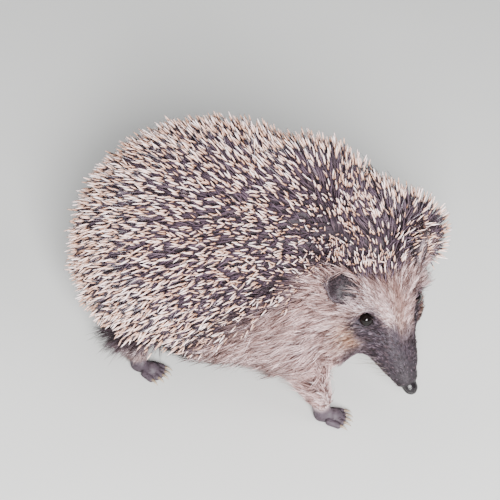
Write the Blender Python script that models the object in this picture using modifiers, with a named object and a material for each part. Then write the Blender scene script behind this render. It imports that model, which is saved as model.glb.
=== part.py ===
"""A European hedgehog, life size, standing with its back hunched and its head turned down to its right.

The animal faces +X, its left side is +Y and the floor is Z = 0. Lengths below are in millimetres and
angles in degrees; MM turns them into Blender's metres. The solids reach out to the tips of the spines
and of the fur. The body is modelled whole, from masses of flesh that one remesh blends together, and
is then parted by thin cuts into trunk, neck, head and legs. Last of all the animal is moved so that
its box stands on the floor and is centred on the origin.
"""

import math

import bmesh
import bpy
from mathutils import Matrix, Vector

MM = 0.001
GAP = 0.3                       # clearance between two solids that touch
SIDES = {"right": -1, "left": 1}

# Trunk, out to the tips of the spines
TRUNK_AT = (-16, 2)             # its widest place, in plan
TRUNK_REAR = 76                 # from there to the rump
TRUNK_FRONT = 92                # and to the breast
TRUNK_WIDTH = 126
BACK_HEIGHT = 123               # top of the back above the floor
BELLY_HEIGHT = 14               # underside of the skirt of fur above the floor
WIDEST_HEIGHT = 52              # where the flanks bulge most
SKIRT_SQUARENESS = 2.8          # 2 is an ellipse, and more drops the skirt straighter

# Shoulders, which bend round to the right, and the nape that runs from them to the crown
SHOULDER_AT = (22, 6, 62)
SHOULDER_TURN = (-18, 12)       # to the right, and down
SHOULDER_RADII = (48, 52, 59)
SHOULDER_DROP = 40              # their radius downwards
BREAST_AT = (30, -20, 40)
BREAST_RADII = (36, 36, 27)
NAPE_FROM = (28, 7, 66)
NAPE_TO = (49, 12, 70)
NAPE_RADII = ((42, 48, 50), (31, 38, 35))

# Head. Its own frame has +X to the nose, +Y to its left and +Z to its crown
SKULL_AT = (61, -8.7, 63.5)    # midway between the ears
HEAD_YAW = -37                  # turned to the animal's right
HEAD_PITCH = 41                 # nose down
HEAD_ROLL = -1
HEAD_LENGTH = 62                # from between the ears to the tip of the nose
CROWN_AT = (-10, 14, -6)        # the hood of spines over the forehead
CROWN_RADII = (25, 41, 35)
CROWN_BACK = 30
BROW_AT = (12, 0, 0)
BROW_RADII = (20, 20.5, 20)
TEMPLE_AT = (7, 18.5, 11)       # between the left eye and ear; the right one mirrors it
TEMPLE_RADII = (12, 11.5, 11.5)
CHEEK_AT = (15.5, 16, -7.5)         # of the left cheek; the right one mirrors it
CHEEK_RADII = (17.5, 13.5, 13)
MUZZLE_ROOT = (22, 0, -2)
MUZZLE_RADII = ((14.5, 18, 14), (6.2, 7, 6.4))
JAW = ((13, 0, -18), (43, 0, -13))
JAW_RADII = ((12, 15.5, 10), (7.5, 8, 5.5))
NOSE_DROP = 8                   # of the nose, below the line between the ears
NOSE_RADII = (4.2, 4.0, 3.6)
EYE_RADIUS = 3.3
EYE_AT = (20.3, 15.2, 8)         # of the left eye; the right one mirrors it
EAR_AT = (3, 25, 18.5)          # likewise
EAR_RADII = (4.8, 7.8, 10.8)    # depth of the cup, half its width, half its height
EAR_WALL = 2.0
EAR_TURN = 40                   # its cup faces this far outwards from the nose
EAR_LEAN = 22                   # and its tip leans this far out from upright
EAR_TILT = 36                   # and this far back

# Where the body is parted, in the head's frame
HEAD_REGION = ((24, 0, -3), (41, 33, 30))
NECK_REGION = ((-4, 4, -3), (58, 56, 52))

# Legs. The feet stand flat; each is (middle of the sole in plan, way its toes point)
ANKLE_HEIGHT = 8
HIP_HEIGHT = 34
LEG_TOP = {"front": 22, "hind": 15}
LEG_RADIUS = {"front": 8, "hind": 9}
SOLE = {"front": (17, 11), "hind": (22, 11)}
FEET = {
    ("front", "right"): ((53, -46), 6),
    ("front", "left"): ((46, 33), 5),
    ("hind", "right"): ((-44, -35), -14),
    ("hind", "left"): ((-50, 36), 12),
}
HEEL = 0.18                     # the ankle's place behind the middle of the sole, as a share of the sole
TOES = 5
TOE_LENGTH = 4.6
CLAW_LENGTH = 5
TOE_RADII = ((1.9, 1.4, 1.9), (1.6, 1.3, 1.6))
CLAW_RADII = ((1.2, 1.0, 1.1), (0.9, 0.7, 0.7))

# The short tail, under the rump
TAIL_ROOT = (-60, 2, 24)
TAIL_TIP = (-82, 2, 14)
TAIL_RADIUS = 3.2

# Fineness of the meshes
BODY_VOXEL = 2.8
BODY_KEPT = 0.12                # share of the remeshed body's faces that is kept
FOOT_VOXEL = 0.6
FOOT_KEPT = 0.04
TAIL_VOXEL = 0.8
TAIL_KEPT = 0.1
FINE_SEGMENTS = 48
CUT_SEGMENTS = 20
SMALL_SEGMENTS = 14
CLEAR = 60                      # how far a cutting block reaches past what it cuts

COLOURS = {
    "spines": ((0.30, 0.24, 0.20, 1), 0.55),
    "fur": ((0.36, 0.28, 0.22, 1), 0.85),
    "dark_skin": ((0.05, 0.04, 0.045, 1), 0.6),
    "nose": ((0.02, 0.018, 0.02, 1), 0.3),
    "eye": ((0.008, 0.006, 0.006, 1), 0.05),
}
FINISHES = {
    "trunk": "spines",
    "neck": "spines",
    "head": "fur",
    "leg": "fur",
    "ear": "dark_skin",
    "foot": "dark_skin",
    "tail": "dark_skin",
    "nose": "nose",
    "eye": "eye",
}


def clear_scene():
    for obj in list(bpy.data.objects):
        bpy.data.objects.remove(obj)


def new_collection(name):
    collection = bpy.data.collections.new(name)
    bpy.context.scene.collection.children.link(collection)
    return collection


def material(name):
    colour, roughness = COLOURS[name]
    made = bpy.data.materials.new(name)
    made.use_nodes = True
    shader = made.node_tree.nodes["Principled BSDF"]
    shader.inputs["Base Color"].default_value = colour
    shader.inputs["Roughness"].default_value = roughness
    return made


def turned(yaw=0, pitch=0, roll=0):
    """Rotation by yaw about Z, after pitch (nose down) about Y, after roll about X."""
    return (
        Matrix.Rotation(math.radians(yaw), 4, "Z")
        @ Matrix.Rotation(math.radians(pitch), 4, "Y")
        @ Matrix.Rotation(math.radians(roll), 4, "X")
    )


def placed(at, rotation=None):
    """Matrix, in millimetres, of a frame at a point."""
    return Matrix.Translation(Vector(at)) @ (rotation or Matrix.Identity(4))


HEAD = placed(SKULL_AT, turned(HEAD_YAW, HEAD_PITCH, HEAD_ROLL))


def mirrored(at, side):
    """A place given for the left side, or its mirror image for the right one."""
    return (at[0], at[1] * side, at[2])


def object_of(name, bm):
    """A mesh object in the part's collection, from a bmesh in millimetres."""
    bm.transform(Matrix.Scale(MM, 4))
    mesh = bpy.data.meshes.new(name)
    bm.to_mesh(mesh)
    bm.free()
    obj = bpy.data.objects.new(name, mesh)
    hedgehog.objects.link(obj)
    return obj


def add_mass(bm, frame, at, radii, back=None, drop=None, squareness=2.0, segments=32):
    """An ellipsoid whose radius may differ backwards and downwards, with a squarer lower half."""
    made = bmesh.ops.create_uvsphere(bm, u_segments=segments, v_segments=segments // 2, radius=1)
    front, side, rise = radii
    for vert in made["verts"]:
        x, y, z = vert.co
        if z < 0 and squareness != 2.0:
            flat = math.hypot(x, y)
            wanted = (1 - min(1, -z) ** squareness) ** (1 / squareness)
            x, y = (x * wanted / flat, y * wanted / flat) if flat > 1e-6 else (x, y)
        x *= front if x > 0 or back is None else back
        z *= rise if z > 0 or drop is None else drop
        vert.co = frame @ Vector((at[0] + x, at[1] + y * side, at[2] + z))


def add_taper(bm, frame, start, end, start_radii, end_radii, count=7):
    """A tapering limb: a row of ellipsoids from start to end."""
    for i in range(count):
        share = i / (count - 1)
        at = Vector(start).lerp(Vector(end), share)
        add_mass(bm, frame, at, Vector(start_radii).lerp(Vector(end_radii), share), segments=SMALL_SEGMENTS)


def as_mesh(obj):
    """The object with its modifiers made into its mesh, in triangles, which every later cut takes cleanly."""
    mesh = bpy.data.meshes.new_from_object(obj.evaluated_get(bpy.context.evaluated_depsgraph_get()))
    obj.modifiers.clear()
    bm = bmesh.new()
    bm.from_mesh(mesh)
    bmesh.ops.triangulate(bm, faces=bm.faces)
    bm.to_mesh(mesh)
    bm.free()
    obj.data = mesh
    return obj


def blend_masses(obj, voxel, smoothing, kept):
    """Overlapping masses become one skin, with the creases between them smoothed away."""
    remesh = obj.modifiers.new("blend", "REMESH")
    remesh.mode = "VOXEL"
    remesh.voxel_size = voxel * MM
    smooth = obj.modifiers.new("smooth", "SMOOTH")
    smooth.factor = 0.5
    smooth.iterations = smoothing
    decimate = obj.modifiers.new("thin_out", "DECIMATE")
    decimate.ratio = kept
    return as_mesh(obj)


def cut(obj, cutter, operation="DIFFERENCE"):
    boolean = obj.modifiers.new("cut", "BOOLEAN")
    boolean.operation = operation
    boolean.object = cutter
    return as_mesh(obj)


def drop_crumbs(obj):
    """Keeps only the largest closed shell, where a cut leaves specks."""
    bm = bmesh.new()
    bm.from_mesh(obj.data)
    left, shells = set(bm.verts), []
    while left:
        shell, edge = set(), [left.pop()]
        while edge:
            vert = edge.pop()
            shell.add(vert)
            for other in (e.other_vert(vert) for e in vert.link_edges):
                if other in left:
                    left.remove(other)
                    edge.append(other)
        shells.append(shell)
    for shell in sorted(shells, key=len)[:-1]:
        bmesh.ops.delete(bm, geom=list(shell), context="VERTS")
    bm.to_mesh(obj.data)
    bm.free()
    return obj


def as_cutter(obj):
    hedgehog.objects.unlink(obj)
    cutters.objects.link(obj)
    obj.hide_render = True
    obj.display_type = "WIRE"
    return obj


def part_off(whole, name, region):
    """What lies in the region becomes an object of that name, and the whole keeps the rest, GAP away.
    region(grow) makes the region's shape, grown by that much."""
    piece = bpy.data.objects.new(name, whole.data.copy())
    hedgehog.objects.link(piece)
    cut(piece, as_cutter(region(0)), "INTERSECT")
    cut(whole, as_cutter(region(GAP)))
    drop_crumbs(whole)
    return drop_crumbs(piece)


def ellipsoid_region(name, frame, at, radii):
    def region(grow):
        bm = bmesh.new()
        add_mass(bm, frame, at, [r + grow for r in radii], segments=CUT_SEGMENTS)
        return object_of(f"{name}_region", bm)
    return region


def block_region(name, low, high):
    """A box that grows upwards only."""
    def region(grow):
        low_corner, high_corner = Vector(low), Vector(high) + Vector((0, 0, grow))
        bm = bmesh.new()
        bmesh.ops.create_cube(bm, size=1)
        size = high_corner - low_corner
        bm.transform(Matrix.Translation((low_corner + high_corner) / 2) @ Matrix.Diagonal((*size, 1)))
        return object_of(f"{name}_region", bm)
    return region


def make_body():
    """Trunk, neck, head and upper legs as one skin."""
    bm = bmesh.new()
    level = Matrix.Identity(4)
    here = (0, 0, 0)
    rise, drop = BACK_HEIGHT - WIDEST_HEIGHT, WIDEST_HEIGHT - BELLY_HEIGHT
    trunk_radii = (TRUNK_FRONT, TRUNK_WIDTH / 2, rise)
    add_mass(bm, level, (*TRUNK_AT, WIDEST_HEIGHT), trunk_radii, TRUNK_REAR, drop, SKIRT_SQUARENESS,
             FINE_SEGMENTS)
    add_mass(bm, placed(SHOULDER_AT, turned(*SHOULDER_TURN)), here, SHOULDER_RADII, drop=SHOULDER_DROP)
    add_mass(bm, placed(BREAST_AT, turned(SHOULDER_TURN[0])), here, BREAST_RADII)
    add_taper(bm, level, NAPE_FROM, NAPE_TO, *NAPE_RADII, count=5)
    add_mass(bm, HEAD, CROWN_AT, CROWN_RADII, back=CROWN_BACK)
    add_mass(bm, HEAD, BROW_AT, BROW_RADII)
    for side in SIDES.values():
        add_mass(bm, HEAD, mirrored(CHEEK_AT, side), CHEEK_RADII)
        add_mass(bm, HEAD, mirrored(TEMPLE_AT, side), TEMPLE_RADII)
    muzzle_end = (HEAD_LENGTH - MUZZLE_RADII[1][0], 0, -NOSE_DROP)
    add_taper(bm, HEAD, MUZZLE_ROOT, muzzle_end, *MUZZLE_RADII)
    add_taper(bm, HEAD, *JAW, *JAW_RADII)
    for (end, side), (at, heading) in FEET.items():
        radius = LEG_RADIUS[end]
        foot = placed((*at, 0), turned(heading))
        ankle = foot @ Vector((-HEEL * SOLE[end][0], 0, ANKLE_HEIGHT - 3))
        hip = Vector((ankle.x - radius, ankle.y * 0.9, HIP_HEIGHT))
        add_taper(bm, level, hip, ankle, (radius * 1.5,) * 3, (radius * 0.75,) * 3)
    return blend_masses(object_of("trunk", bm), BODY_VOXEL, 10, BODY_KEPT)


def make_nose(grow=0):
    bm = bmesh.new()
    at = (HEAD_LENGTH - NOSE_RADII[0], 0, -NOSE_DROP)
    add_mass(bm, HEAD, at, [r + grow for r in NOSE_RADII], segments=SMALL_SEGMENTS)
    return object_of("nose", bm)


def make_eye(side, grow=0):
    bm = bmesh.new()
    at = mirrored(EYE_AT, SIDES[side])
    add_mass(bm, HEAD, at, [EYE_RADIUS + grow] * 3, segments=SMALL_SEGMENTS)
    return object_of(f"eye_{side}", bm)


def make_ear(side, grow=0):
    """A cup that faces forwards and outwards. Grown, it is left full, to cut its seat in the head."""
    sign = SIDES[side]
    turn = turned(EAR_TURN * sign, -EAR_TILT, -EAR_LEAN * sign)
    frame = HEAD @ placed(mirrored(EAR_AT, sign), turn)
    bm = bmesh.new()
    add_mass(bm, frame, (0, 0, 0), [r + grow for r in EAR_RADII], segments=SMALL_SEGMENTS)
    ear = object_of(f"ear_{side}", bm)
    if grow:
        return ear
    bm = bmesh.new()
    hollow = (EAR_RADII[0], EAR_RADII[1] - EAR_WALL, EAR_RADII[2] - EAR_WALL)
    add_mass(bm, frame, (EAR_RADII[0] * 0.9, 0, 0), hollow, segments=SMALL_SEGMENTS)
    return cut(ear, as_cutter(object_of(f"ear_{side}_hollow", bm)))


def make_foot(end, side):
    """A flat sole with five toes, each with its claw."""
    at, heading = FEET[(end, side)]
    length, width = SOLE[end]
    frame = placed((*at, 0), turned(heading))
    bm = bmesh.new()
    add_mass(bm, frame, (-0.1 * length, 0, 3), (0.42 * length, width / 2, 5), drop=4)
    add_mass(bm, frame, (-HEEL * length, 0, ANKLE_HEIGHT - 1), (LEG_RADIUS[end] * 0.75,) * 3)
    for toe in range(TOES):
        spread = 2 * toe / (TOES - 1) - 1
        reach = length * (0.36 - 0.1 * spread * spread) + TOE_LENGTH / 3
        knuckle = Vector((reach, spread * width * 0.5, 1.5))
        root = knuckle - Vector((TOE_LENGTH, spread * width * 0.08, 0))
        tip = knuckle + Vector((CLAW_LENGTH, spread * 1.4, -0.9))
        add_taper(bm, frame, root, knuckle, *TOE_RADII, count=3)
        add_taper(bm, frame, knuckle, tip, *CLAW_RADII, count=9)
    foot = drop_crumbs(blend_masses(object_of(f"foot_{end}_{side}", bm), FOOT_VOXEL, 1, FOOT_KEPT))
    x, y = at
    below = block_region("floor", (x - CLEAR, y - CLEAR, -CLEAR), (x + CLEAR, y + CLEAR, 0))
    above = block_region("ankle", (x - CLEAR, y - CLEAR, ANKLE_HEIGHT), (x + CLEAR, y + CLEAR, CLEAR))
    cut(foot, as_cutter(below(0)))
    return cut(foot, as_cutter(above(0)))


def make_tail(grow=0):
    bm = bmesh.new()
    thick, thin = (TAIL_RADIUS + grow,) * 3, (TAIL_RADIUS * 0.4 + grow,) * 3
    add_taper(bm, Matrix.Identity(4), TAIL_ROOT, TAIL_TIP, thick, thin, count=9)
    return blend_masses(object_of("tail", bm), TAIL_VOXEL, 2, TAIL_KEPT)


def build():
    body = make_body()
    pieces = {"trunk": body}
    # The legs end at the ankles, and everything below is the feet's
    low, high = (-CLEAR * 3, -CLEAR * 3, -CLEAR), (CLEAR * 3, CLEAR * 3, ANKLE_HEIGHT)
    cut(body, as_cutter(block_region("ankles", low, high)(GAP)))
    for (end, side), ((x, y), _) in FEET.items():
        reach = LEG_RADIUS[end] * 1.9
        name = f"leg_{end}_{side}"
        low, high = (x - reach - 4, y - reach, -CLEAR), (x + reach - 4, y + reach, LEG_TOP[end])
        pieces[name] = part_off(body, name, block_region(name, low, high))
        pieces[f"foot_{end}_{side}"] = make_foot(end, side)
    pieces["head"] = part_off(body, "head", ellipsoid_region("head", HEAD, *HEAD_REGION))
    pieces["neck"] = part_off(body, "neck", ellipsoid_region("neck", HEAD, *NECK_REGION))
    for side in SIDES:
        pieces[f"eye_{side}"] = make_eye(side)
        pieces[f"ear_{side}"] = make_ear(side)
        cut(pieces["head"], as_cutter(make_eye(side, GAP)))
        for name in ("head", "neck"):
            cut(pieces[name], as_cutter(make_ear(side, GAP)))
            drop_crumbs(pieces[name])
    pieces["nose"] = make_nose()
    cut(pieces["head"], as_cutter(make_nose(GAP)))
    pieces["tail"] = make_tail()
    cut(body, as_cutter(make_tail(GAP)))
    drop_crumbs(body)
    return pieces


def centre(pieces):
    """Moves the animal so that its box stands on the floor, centred on the origin."""
    corners = [vert.co for obj in pieces.values() for vert in obj.data.vertices]
    low = [min(co[axis] for co in corners) for axis in range(3)]
    high = [max(co[axis] for co in corners) for axis in range(3)]
    shift = Vector((-(low[0] + high[0]) / 2, -(low[1] + high[1]) / 2, -low[2]))
    for obj in pieces.values():
        obj.data.transform(Matrix.Translation(shift))


def dress(pieces):
    finishes = {name: material(name) for name in COLOURS}
    for name, obj in pieces.items():
        obj.data.materials.clear()
        obj.data.materials.append(finishes[FINISHES[name.split("_")[0]]])
        obj.data.shade_smooth()
        obj.name = name


clear_scene()
hedgehog = new_collection("hedgehog")
cutters = new_collection("cutters")
parts = build()
centre(parts)
dress(parts)
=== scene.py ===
"""A life-size European hedgehog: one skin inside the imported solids, with its quills, fur, eyes and claws.

Shapes are worked out in millimetres and turned into metres when an object is made. Head points are given
in the head's own frame: +X to the nose, +Y to its left, +Z to the crown.
"""

import itertools
import math

import bmesh
import bpy
import numpy as np
import openvdb
from mathutils import Matrix, Vector, kdtree


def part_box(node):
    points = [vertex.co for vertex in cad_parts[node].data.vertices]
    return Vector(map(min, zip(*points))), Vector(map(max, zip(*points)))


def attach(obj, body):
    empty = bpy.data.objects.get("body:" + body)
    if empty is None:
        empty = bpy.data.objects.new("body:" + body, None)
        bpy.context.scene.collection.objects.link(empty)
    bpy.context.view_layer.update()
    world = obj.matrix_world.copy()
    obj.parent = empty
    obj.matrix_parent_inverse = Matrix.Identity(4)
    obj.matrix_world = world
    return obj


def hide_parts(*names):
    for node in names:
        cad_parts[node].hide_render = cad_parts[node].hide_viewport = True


MM = 0.001
SIDES = {"right": -1, "left": 1}
FEET = ("front_left", "front_right", "hind_left", "hind_right")

# The left eye and the nose in the head's frame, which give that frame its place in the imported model
EYE_AT = (20.3, 15.2, 8.0)
NOSE_FORWARD = 57.8
NOSE_HEIGHT = -8.0

# How the skin is made from the solids: its grid, the gap it closes between them, and where it is finer
VOXEL = 1.0
BAND = 20
SEAM = 0.35
MARGIN = 3
BLEND = 1.2
SOFTEN_PASSES = 2
FACE_FINE = 8
DETAIL_REACH = 8
FOOT_TOP = 9
SNAPS = 3

# Coat depth under the solids' surface, from the nape forwards along the head, and elsewhere
DEPTH_ALONG_HEAD = ((-30, 6.5), (-6, 5.0), (10, 2.8), (24, 1.4), (38, 0.8), (52, 0.35))
QUILL_DEPTH = 13.0
QUILL_RAMP = (4, -30)
BODY_FUR_DEPTH = 5.5
BELLY_DEPTH = 5.0
HEAD_REACH = (36, 26)
LEG_DEPTH = 2.2
TAIL_DEPTH = 0.6
EYE_DEPTH = 1.0
SNOUT_TAPER = 1.4

# The line where quills give way to fur: a slope across the shoulder, brought forwards on the forehead
HAIRLINE_NORMAL = (0.603, 0.454, -0.656)
HAIRLINE_AT = (59.0, 10.7, 63.5)
HAIRLINE_EDGE = -3.0
HAIRLINE_ROUND = 5
FOREHEAD_PEAK = ((2, 0, 20), 30, 15.0)
HOOD = (4, -6)
HOOD_SLOPE = 0.8
EAR_BAY = ((-3, 30, 20), 19, 15.0)

# The dark mask runs in a band from the eye down the muzzle, beside a pale bridge
MASK_FROM = (20.8, 15.4, 7.2)
MASK_TO = (38, 9.5, 0.5)
MASK_BAND = (9.5, 4.8)
BRIDGE_SIDE = 4

EYE_RADIUS = 3.3
LID_OPENING = (2.75, 2.35)
LID_LIFT = 0.4
LID_REACH = 3.2

EAR_AT = (3, 25, 18.5)
EAR_RADII = (4.8, 7.8, 10.8)
EAR_WALL = 1.8
EAR_MIDDLE = (2.6, 0, 0)
EAR_SPACE = (6.8, 8.6, 11.8)
EAR_TURN = 40
EAR_LEAN = 22
EAR_TILT = 36
EAR_RINGS = 10
EAR_SPOKES = 40

# The folds in the ear: height, place and width on the way out, and place and width round the ear
EAR_FOLDS = ((1.3, 0.55, 0.13, 1.9, math.sqrt(0.8)), (1.6, 0.6, 0.2, 4.3, 0.5))

# Each nostril's hollow and the slit beside it, from the nose's tip on the left: place, radii and depth
NOSTRIL = (((2.3, 1.75, 0.2), (1.6, 0.85, 1.0), 1.1), ((1.0, 3.0, 0.1), (1.8, 0.9, 0.5), 0.5))

FOOT_HEADING = {"front_left": 5, "front_right": 6, "hind_left": 12, "hind_right": -14}
FOOT_AHEAD = {"front": 1.0, "hind": 2.0}
SOLE = {"front": (17, 11), "hind": (22, 11)}
SOLE_LEVEL = 0.15
HEEL = 0.18
TOES = 5
TOE_LENGTH = 4.6
TOE_HEIGHT = 1.9
TOE_RADII = (1.9, 1.55)
CLAW_LENGTH = 5
CLAW_ARCH = 0.9
CLAW_MARKS = (0, 0.25, 0.5, 0.75, 1.0)
CLAW_RADII = (0.85, 0.8, 0.62, 0.4)

# Quills: how close the roots stand, length, thickness and lean, and how each one swells and tapers
QUILLS_PER_MM2 = 2.6
ROOT_CELL = 2.0
QUILL_SPACING = 1.5
QUILL_SHORT = 11.5
QUILL_LONG = 19.5
QUILL_RADIUS = 0.45
QUILL_TILT = 47
EDGE_TILT = 58
CROWN_TILT = 32
QUILL_SIDES = 5
QUILL_MARKS = (0.0, 0.3, 0.74, 0.86, 0.94, 1.0)
PALE_FROM = 0.8
PALE_LENGTH = 4.3
QUILL_PROFILE = (0.5, 0.8, 0.85, 0.95, 0.55, 0.0)
QUILL_SWING = 24
QUILL_BOW = 0.05
QUILL_ROOT = 0.6
LOWEST = 0.3

# Quills stop at this height, where the skin turns under, and round a foot out to this reach and height
SKIRT_EDGE = 20
SKIRT_TURN = -0.35
LEG_CLEAR = (20, 34)

# Hair: its length from the nape to the nose and elsewhere, then its lift, width and density by length
HAIR_ALONG_HEAD = ((-30, 18), (-8, 15), (4, 10), (14, 7), (26, 4.2), (36, 2.8), (46, 1.8), (55, 1.2))
BODY_HAIR = 14.0
LEG_HAIR = 4.5
FOOT_HAIR = 1.1
EAR_SIDE_HAIR = 5.0
EAR_HAIR = 2.6
EAR_TUFT_AT = (10, 22, 16)
EAR_TUFT_HAIR = 9.0
FAR_BROW_AT = (17, 14, 14)
FAR_BROW_HAIR = 8.0
TAIL_HAIR = 2.5
HAIR_LIFT = ((1, 22), (4, 27), (10, 30), (18, 30))
HAIR_WIDTH = ((1.5, 0.11), (5, 0.13), (10, 0.17), (18, 0.21))
HAIR_DENSITY = ((1.5, 3.6), (4, 3.0), (9, 2.0), (16, 1.5))
HAIRS_IN_LOCK = 6
WAVE_SWING, LOCK_SWING, HAIR_SWING = 5, 9, 5
LOCK_RAISE, HAIR_RAISE = 5, 4
HAIR_MARKS = (0.0, 0.5, 1.0)
HAIR_ROOT = 0.25
HAIR_SETTLE = 0.35
GREY_SHARE = 0.38
WHISKER_MARKS = (0, 0.3, 0.65, 1.0)
WHISKER_RADII = (0.14, 0.12, 0.08)
WHISKER_BEND = (-0.35, 0, -0.25)

# Display colours, and how far the skin under the coat is darkened, as painted shade from the coat over it
FUR = (0.97, 0.865, 0.865)
FUR_LOW = (0.97, 0.90, 0.91)
BROW_PALE = (0.98, 0.91, 0.92)
THROAT_PALE = (0.98, 0.94, 0.97)
CHEEK_OCHRE = (0.74, 0.57, 0.44)
STREAK_BROWN = (0.72, 0.57, 0.52)
# The ear's own dark skin, also used as painted shade in its hollow and as a painted shadow below it
EAR_DARK_AND_SHADE = (0.20, 0.16, 0.19)
EAR_EDGE = (0.44, 0.39, 0.42)
EAR_RIM = (0.91, 0.86, 0.90)
MASK = (0.235, 0.195, 0.235)
SNOUT_DARK = (0.17, 0.14, 0.165)
GREY_HAIR = (0.52, 0.47, 0.52)
BARE_DARK = (0.33, 0.28, 0.32)
NOSE_BLACK = (0.12, 0.10, 0.115)
QUILL_SKIN = (0.30, 0.25, 0.29)
WHISKER = (0.12, 0.10, 0.10)
WHISKER_TIP = (0.55, 0.50, 0.47)
CLAW_ROOT = (0.30, 0.24, 0.22)
CLAW = (0.52, 0.45, 0.38)
CLAW_TIP = (0.72, 0.66, 0.58)
# Painted shade: the skin's colour is darkened by this factor under the coat
UNDER_COAT_SHADE = 0.8
FLOOR = (0.86, 0.86, 0.85)
FLOOR_WORN = (0.84, 0.84, 0.83)
SKIN_MOTTLE = ((0.3, (0.75, 0.72, 0.72)), (0.7, (1.0, 1.0, 1.0)))
QUILL_SHAFT = (
    (0.0, (0.52, 0.45, 0.46)),
    (0.3, (0.43, 0.36, 0.40)),
    (0.6, (0.34, 0.285, 0.335)),
    (0.76, (0.14, 0.11, 0.14)),
)
QUILL_TIPS = (
    (0.0, (0.66, 0.48, 0.38)),
    (0.3, (0.84, 0.66, 0.57)),
    (0.6, (0.95, 0.80, 0.75)),
    (0.9, (1.0, 0.93, 0.93)),
)
TIP_RISE = 2.2
PALE_EDGE = ((0.77, (0.0, 0.0, 0.0)), (0.83, (1.0, 1.0, 1.0)))
QUILL_STREAKS = ((0.3, (0.82, 0.80, 0.78)), (0.65, (1.0, 1.0, 1.0)))
FUR_TONES = ((0.15, (0.36, 0.295, 0.275)), (0.5, (0.76, 0.70, 0.68)), (0.85, (1.0, 1.0, 1.0)))
FUR_LENGTH_TONES = ((0.0, (0.56, 0.49, 0.47)), (0.5, (0.93, 0.91, 0.91)), (1.0, (1.0, 1.0, 1.0)))
EYE_BROWNS = ((0.3, (0.03, 0.02, 0.02)), (0.7, (0.06, 0.04, 0.035)))
WORLD_COLOUR = (0.9, 0.91, 0.93)
WORLD_STRENGTH = 0.31

# Patches of the face and, laid on after them, by the ear (a painted shadow below it, then its pale tuft):
# colour, strength, place on the left, and radius
FACE_PATCHES = (
    (BROW_PALE, 0.85, (13, 15, 14), 11),
    (THROAT_PALE, 0.9, (14, 26, -14), 17),
    (CHEEK_OCHRE, 0.75, (25, 21, -1), 12),
)
EAR_SHADOW_AND_TUFT = ((EAR_DARK_AND_SHADE, 0.6, (8.5, 28, 12), 7), (EAR_RIM, 0.8, EAR_TUFT_AT, 10))

# Fine grain: the bump's strength and depth, then the noise's scale, detail and roughness
SKIN_GRAIN = (0.5, 0.0003, 1500, 3, 0.6)
QUILL_GRAIN = (0.25, 0.0001, 2600, 2)
FUR_GRAIN = (0.2, 0.0001, 3000, 2)
CLAW_GRAIN = (0.3, 0.0001, 1800, 2)

# The camera's azimuth, elevation and distance from the target, and the lamps' with size, power and glints
TARGET = (-0.002, 0.0, 0.059)
CAMERA_FROM = (17, 35, 0.9)
CAMERA_LENS = 130
LAMPS = {
    "key": (22, 27, 1.2, 0.35, 54, True),
    "fill": (75, 28, 1.2, 0.9, 8, False),
    "back": (200, 35, 1.2, 0.8, 5, False),
}
FLOOR_REACH = 3000

UV_PATCH = 0.003
UV_ANGLE = 66
UV_MARGIN = 0.002
PIECE_TRIANGLES = 190_000
SEED = 7


def rng_for(name):
    """Random numbers of a piece's own, so that a change to one piece leaves the others alone."""
    return np.random.default_rng([SEED, *name.encode()])


def smoothstep(low, high, value):
    t = np.clip((value - low) / (high - low), 0.0, 1.0)
    return t * t * (3 - 2 * t)


def bump(points, centre, radius):
    """1 at the centre, fading smoothly to 0 at about the radius."""
    away = np.linalg.norm(points - np.asarray(centre, dtype=points.dtype), axis=-1)
    return hill(away, 0, 0.6 * radius)


def toward(value, other, weight):
    """The value moved towards another by a weight from 0 to 1."""
    return value + (other - value) * weight


def hill(value, middle, width):
    """1 at the middle, falling to 0 on both sides."""
    return np.exp(-(((value - middle) / width) ** 2))


def rows(*parts):
    """Numbers and columns side by side, as rows of vectors."""
    return np.stack(np.broadcast_arrays(*parts), axis=-1)


def unit(vectors):
    length = np.linalg.norm(vectors, axis=-1, keepdims=True)
    return vectors / np.maximum(length, 1e-9)


def along_surface(direction, normals):
    """The direction laid into the surface that has these normals."""
    return unit(direction - normals * np.sum(direction * normals, axis=-1, keepdims=True))


def linear(colour):
    """A display colour as the linear values that materials use."""
    c = np.asarray(colour, dtype=float)
    return np.where(c <= 0.04045, c / 12.92, ((c + 0.055) / 1.055) ** 2.4)


def read(items, name, width, kind=float):
    """One property of many Blender items, as a row of numbers for each."""
    values = np.empty(len(items) * width, dtype=kind)
    items.foreach_get(name, values)
    return values.reshape(-1, width)


# ---- the frame

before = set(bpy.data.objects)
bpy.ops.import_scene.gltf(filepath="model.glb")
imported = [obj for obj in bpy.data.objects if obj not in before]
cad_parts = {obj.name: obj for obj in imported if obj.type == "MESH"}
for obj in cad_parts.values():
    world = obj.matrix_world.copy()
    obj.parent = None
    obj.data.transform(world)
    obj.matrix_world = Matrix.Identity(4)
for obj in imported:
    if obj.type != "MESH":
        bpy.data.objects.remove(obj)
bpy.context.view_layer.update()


def box_centre(node):
    low, high = (np.array(corner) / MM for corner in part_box(node))
    return (low + high) / 2


def off_axis(points, node):
    """How far points lie from the upright line through a node's middle."""
    x, y, _ = box_centre(node)
    return np.hypot(points[..., 0] - x, points[..., 1] - y)


def on_side(place, sign):
    """A place on the head's left, its twin on the right, or the middle between them for a sign of 0."""
    return np.array(place) * (1, sign, 1)


def head_frame():
    """The head's origin and axes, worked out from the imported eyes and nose."""
    left, right, nose = map(box_centre, ("eye_left", "eye_right", "nose"))
    middle = (left + right) / 2
    across = unit(left - right)
    to_nose = nose - middle
    to_nose -= across * np.dot(to_nose, across)
    fall = math.atan2(EYE_AT[2] - NOSE_HEIGHT, NOSE_FORWARD - EYE_AT[0])
    down_nose = unit(to_nose)
    upwards = np.cross(down_nose, across)
    forward = down_nose * math.cos(fall) + upwards * math.sin(fall)
    axes = np.array((forward, across, np.cross(forward, across)))
    return middle - on_side(EYE_AT, 0) @ axes, axes


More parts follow.
